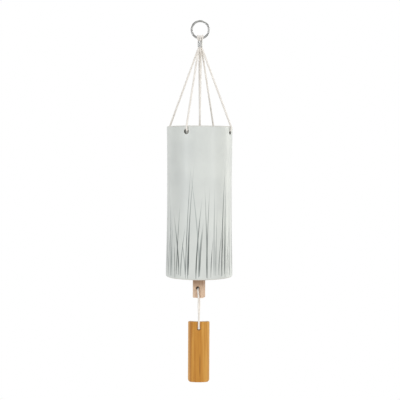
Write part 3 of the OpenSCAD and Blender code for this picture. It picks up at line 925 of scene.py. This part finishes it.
def bambooSail():
    step = 1.3 * mm
    half, edge = sail["width"] / 2, sail["edge"]
    holes = [(0, sailHole, sail["holeRadius"])]
    ring = roundedOutline(sail["width"], sailLow, sailHigh, sail["footRound"], sail["topRound"], step)
    loops = [(ring, edge, True), holeLoop(*holes[0], sail["holeRound"])]
    grid = [(u, v) for u in spaced(-half + edge, half - edge, step)[1:-1]
            for v in spaced(sailLow + edge, sailHigh - edge, step)[1:-1]]
    corner = sail["footRound"]
    grid = [p for p in grid if abs(p[0]) < half - corner or sailLow + corner < p[1] < sailHigh - sail["topRound"]]
    grid = clearOf(grid, holes, sail["holeRound"] + 0.4 * mm)

    def place(u, v, depth):  # bent round the culm's middle line
        r = sail["bowRadius"] - depth
        lean = math.asin(u / sail["bowRadius"])
        return (r * math.sin(lean), sailFront + sail["bowRadius"] - r * math.cos(lean), v)

    piece = drilledPlate("bambooSail", loops, grid, holes, sail["thickness"], place)
    finishPiece(piece, bamboo)
    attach(piece, "sail")
    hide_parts("bamboo_sail")


bambooSail()
print("sail made")


# The clapper's and the sail's cords

def splitAcross(piece, z, upperName, lowerName):  # cuts a cord level across and closes the cut
    halves = []
    for name, keepUpper in ((upperName, True), (lowerName, False)):
        level = z + (cord["cutGap"] if keepUpper else -cord["cutGap"])  # the cut faces don't touch
        half = piece.copy()
        half.data = piece.data.copy()
        half.name = half.data.name = name
        scene.collection.objects.link(half)
        work = bmesh.new()
        work.from_mesh(half.data)
        everything = work.verts[:] + work.edges[:] + work.faces[:]
        cut = bmesh.ops.bisect_plane(work, geom=everything, plane_co=(0, 0, level), plane_no=(0, 0, 1),
                                     clear_inner=keepUpper, clear_outer=not keepUpper)
        edges = [e for e in cut["geom_cut"] if isinstance(e, bmesh.types.BMEdge)]
        bmesh.ops.holes_fill(work, edges=edges)
        for edge in edges:  # a sharp cut keeps the shading even across it
            edge.smooth = False
        work.to_mesh(half.data)
        work.free()
        halves.append(half)
    bpy.data.objects.remove(piece)
    return halves


clapperReach = clapperWood["thickness"] / 2 + cord["diameter"] / 2 + 0.5 * mm  # of a cord that lies on the wood


def clapperCord():
    level = headHole + clapperWood["holeRadius"] - cord["diameter"] / 2 - cord["play"]
    legX, legY = strandPlace(0, -1)
    front = [Vector((legX, legY, gathered)), Vector((legX, legY, mouth)),
             Vector((0.85 * mm, -1.15 * mm, mouth - 9 * mm)), Vector((mm, -mm, mouth - 22 * mm)),
             clapperTurn @ Vector((0, -clapperReach, level + 3 * mm)),
             clapperTurn @ Vector((0, -clapperReach, level))]
    back = [Vector((-p.x, -p.y, p.z)) for p in reversed(front)]
    whole = layCord("clapperCord", front + back, endDiameter=cord["tight"])
    twistZ = joints["clapper_twist"].z
    twistLength, bendLength = 8 * mm, 14 * mm
    bendZ = twistZ - twistLength  # the strands turn round each other above this, and swing below it
    top, rest = splitAcross(whole, twistZ, "clapperCordTop", "clapperCordRest")
    twist, line = splitAcross(rest, bendZ, "clapperCordTwist", "clapperCordLoop")
    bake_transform(top)
    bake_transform(twist)
    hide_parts("clapper_cord_end")
    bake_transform(line)
    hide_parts("clapper_cord")


def sailCord():
    level = footHole - clapperWood["holeRadius"] + cord["diameter"] / 2 + cord["play"]
    strand, abreast = 1.25 * mm, 0.65 * mm  # the two strands hang apart, and side by side below the clapper
    yokeZ, twistZ = joints["sail_swing"].z, joints["sail_twist"].z
    hang = sailHole + sail["holeRadius"] - cord["diameter"] / 2 - cord["play"]
    sailBack = sailFront + sail["thickness"]
    clear = cord["diameter"] / 2 + cord["play"]
    behind = sailBack + clear + 0.35 * mm  # the hollow back comes nearer as the sail rocks
    over = 2.4 * mm  # and its top corner rises
    side, lean = 0.6 * mm, 1.8 * mm  # the strand slants across the face
    upper = [clapperTurn @ Vector((side, -clapperReach, level)),
             clapperTurn @ Vector((lean, -clapperReach, clapperLow)),
             Vector((-abreast, -strand, yokeZ + 1.5 * mm))]
    route = [
        Vector((0, sailFront / 2, hang)), Vector((0, sailFront - clear, hang)),
        Vector((0, sailFront - clear, sailHigh + over)), Vector((0, -strand, twistZ)),
        *reversed(upper),
        *[Vector((-p.x, -p.y, p.z)) for p in upper],
        Vector((0, strand, twistZ)), Vector((0, behind, sailHigh + over)),
        Vector((0, behind, hang)), Vector((0, sailFront / 2, hang)),
    ]
    whole = layCord("sailCord", softened(route, {i: 8 * mm for i in (2, 3, 4, 5, 8, 9, 10, 11)}), lighterPaintedCotton)
    middle = (yokeZ + twistZ) / 2
    upperHalf, lowerHalf = splitAcross(whole, middle, "sailCordYoke", "sailCordLoop")
    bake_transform(upperHalf)
    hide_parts("sail_cord_yoke", "sail_cord")
    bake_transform(lowerHalf)
    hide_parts("sail_cord_loop")


clapperCord()
sailCord()
print("clapper and sail cords laid")


# Floor, world and lamps

studio = {
    "floorDrop": 300 * mm,  # below the sail
    "floorRadius": 1100 * mm,
    "floorFade": (350 * mm, 950 * mm),  # the floor runs out into the white between these distances
    "worldStrength": 0.66,
    "rightward": 0.12,  # the soft light is stronger from the right by this much
    "frontStrength": 0.85,  # what metal sees behind the camera
    "sideStrength": 0.06,  # and of the dark sides of the room
    "ceilingStrength": 1.8,
    "frontEdge": (-0.985, -0.82),  # soft edges of these panels, as parts of a direction
    "backEdge": (0.1, 0.5),
    "ceilingEdge": (0.5, 0.8),
    "ceilingSides": (0.25, 0.5),
    "lamps": [  # name, place, size, power and tint
        ("leftStrip", (-1.1, -1.02, 0.15), (0.26, 1.4), 6.9, "#F8FBFF"),
        ("rightStrip", (1.08, -1.04, 0.15), (0.26, 1.4), 6, "#FFFFFF"),
        ("rim", (1.25, 0.6, 0.1), (0.5, 1.4), 3.6, "#FFFEF2"),
    ],
}


def paleFloor():
    mesh = bpy.data.meshes.new("floor")
    work = bmesh.new()
    bmesh.ops.create_circle(work, cap_ends=True, segments=96, radius=studio["floorRadius"])
    bmesh.ops.translate(work, verts=work.verts, vec=(0, 0, cadLow.z - studio["floorDrop"]))
    work.to_mesh(mesh)
    work.free()
    material, tree, shader = newMaterial("pale floor")
    shader.inputs["Base Color"].default_value = linear("#F4F4F2")
    shader.inputs["Roughness"].default_value = 0.8
    where = addNode(tree, "TexCoord", out="Object")
    flat = addNode(tree, "VectorMath", {0: where, 1: (1, 1, 0)}, operation="MULTIPLY")
    away = addNode(tree, "VectorMath", {0: flat}, out="Value", operation="LENGTH")
    near, far = studio["floorFade"]
    fade = addNode(tree, "MapRange", {
        "Value": away, "From Min": near, "From Max": far, "To Min": 0.3, "To Max": 1.0},
        interpolation_type="SMOOTHSTEP")
    seen = addNode(tree, "LightPath", out="Is Camera Ray")
    fade = addNode(tree, "Math", {0: fade, 1: seen}, operation="MULTIPLY")
    white = addNode(tree, "Emission", {"Color": linear("#FFFFFF")})
    ground = addNode(tree, "MixShader", {0: fade, 1: shader.outputs[0], 2: white})
    under = addNode(tree, "NewGeometry", out="Backfacing")  # nothing hides the chime from below
    clear = addNode(tree, "BsdfTransparent")
    ground = addNode(tree, "MixShader", {0: under, 1: ground, 2: clear})
    tree.links.new(ground, tree.nodes["Material Output"].inputs["Surface"])
    floor = newPiece("floor", mesh)
    mesh.materials.append(material)


def whiteWorld():  # white behind the chime; metal mirrors a bright front and dark sides
    world = bpy.data.worlds.new("white studio")
    scene.world = world
    world.use_nodes = True
    tree = world.node_tree
    tree.nodes.clear()
    light = addNode(tree, "LightPath").node.outputs
    direction = addNode(tree, "TexCoord", out="Generated")
    axes = addNode(tree, "SeparateXYZ", {0: direction}).node.outputs
    side = studio["sideStrength"]
    panels = []
    for axis, edge, first, last in (("Y", "frontEdge", studio["frontStrength"], side),
                                    ("Y", "backEdge", 0.0, 1 - side),
                                    ("Z", "ceilingEdge", 0.0, studio["ceilingStrength"])):
        low, high = studio[edge]
        panels.append(addNode(tree, "MapRange", {
            "Value": axes[axis], "From Min": low, "From Max": high, "To Min": first, "To Max": last}))
    ahead, behind, above = panels
    room = addNode(tree, "Math", {0: ahead, 1: behind}, operation="ADD")
    panel = bandMask(tree, axes["X"], 0.0, *studio["ceilingSides"], 1.0)
    above = addNode(tree, "Math", {0: above, 1: panel}, operation="MULTIPLY")
    room = addNode(tree, "Math", {0: room, 1: above}, operation="MAXIMUM")
    soft = addNode(tree, "Math", {
        0: axes["X"], 1: studio["rightward"], 2: studio["worldStrength"]}, operation="MULTIPLY_ADD")
    change = addNode(tree, "Math", {0: room, 1: soft}, operation="SUBTRACT")
    level = addNode(tree, "Math", {0: light["Is Glossy Ray"], 1: change, 2: soft}, operation="MULTIPLY_ADD")
    seen = addNode(tree, "Math", {0: light["Is Camera Ray"], 1: light["Is Transmission Ray"]}, operation="MAXIMUM")
    level = addNode(tree, "Math", {0: level, 1: seen}, operation="MAXIMUM")
    white = addNode(tree, "Background", {"Color": linear("#FFFFFF"), "Strength": level})
    addNode(tree, "OutputWorld", {"Surface": white})


def softboxes():
    aim = Vector((0, 0, (cadLow.z + cadHigh.z) / 2))
    for name, place, size, power, tint in studio["lamps"]:
        data = bpy.data.lights.new(name, "AREA")
        data.shape = "RECTANGLE"
        data.size, data.size_y = size
        data.energy = power
        data.color = linear(tint)[:3]
        lamp = newPiece(name, data)
        lamp.location = place
        lamp.rotation_euler = (aim - Vector(place)).to_track_quat("-Z", "Y").to_euler()


paleFloor()
whiteWorld()
softboxes()
scene.view_settings.view_transform = "Standard"
print("stage and lamps set")
